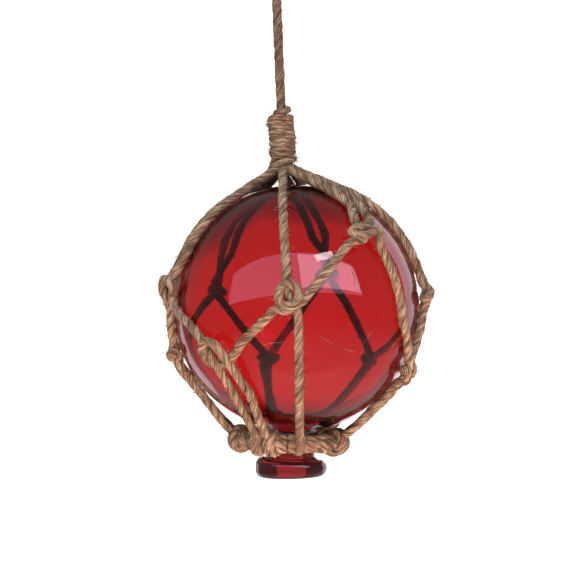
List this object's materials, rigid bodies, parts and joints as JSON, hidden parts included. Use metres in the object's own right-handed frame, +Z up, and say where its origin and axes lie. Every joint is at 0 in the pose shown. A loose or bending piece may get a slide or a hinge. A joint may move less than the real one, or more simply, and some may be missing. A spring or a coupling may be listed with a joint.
{
  "type": "glass float ball",
  "caption": "Red blown-glass fishing float with a sealed button, held in a knotted jute net and hung by a whipped cord with an eye.",
  "frame": {"origin": "inner top of the hanging eye, where a hook carries the float", "axes": "+Z up along the taut cord, -Y the side the picture shows, +X to its right"},
  "size_m": [0.1126, 0.1119, 0.2383],
  "materials": {
    "red_glass": "clear red glass with a smooth, slightly scratched outside",
    "jute": "dry three-ply jute twine, tan with loose fibres"
  },
  "bodies": {
    "root": {"crossing_knot": "jute", "foot_ring": "jute", "gathering_knot": "jute", "glass_float": "red_glass", "hanging_cord": "jute", "hanging_eye": "jute", "lower_knot_back": "jute", "lower_knot_back_right": "jute", "lower_knot_front_left": "jute", "lower_knot_left": "jute", "lower_knot_right": "jute", "lower_strand_back_1": "jute", "lower_strand_back_2": "jute", "lower_strand_back_right_1": "jute", "lower_strand_back_right_2": "jute", "lower_strand_front": "jute", "lower_strand_front_left_1": "jute", "lower_strand_front_left_2": "jute", "lower_strand_left_1": "jute", "lower_strand_left_2": "jute", "lower_strand_right_1": "jute", "lower_strand_right_2": "jute", "mesh_strand_back_left_a": "jute", "mesh_strand_back_left_b": "jute", "mesh_strand_back_right_a": "jute", "mesh_strand_back_right_b": "jute", "mesh_strand_front": "jute", "mesh_strand_front_right_a": "jute", "mesh_strand_front_right_b": "jute", "mesh_strand_left_a": "jute", "mesh_strand_left_b": "jute", "mesh_strand_right_a": "jute", "mesh_strand_right_b": "jute", "upper_knot_back_left": "jute", "upper_knot_back_right": "jute", "upper_knot_front_right": "jute", "upper_knot_left": "jute", "upper_knot_right": "jute", "upper_strand_back_left_1": "jute", "upper_strand_back_left_2": "jute", "upper_strand_back_right_1": "jute", "upper_strand_back_right_2": "jute", "upper_strand_front": "jute", "upper_strand_front_right_1": "jute", "upper_strand_front_right_2": "jute", "upper_strand_left_1": "jute", "upper_strand_left_2": "jute", "upper_strand_right_1": "jute", "upper_strand_right_2": "jute"}
  },
  "joints": []
}
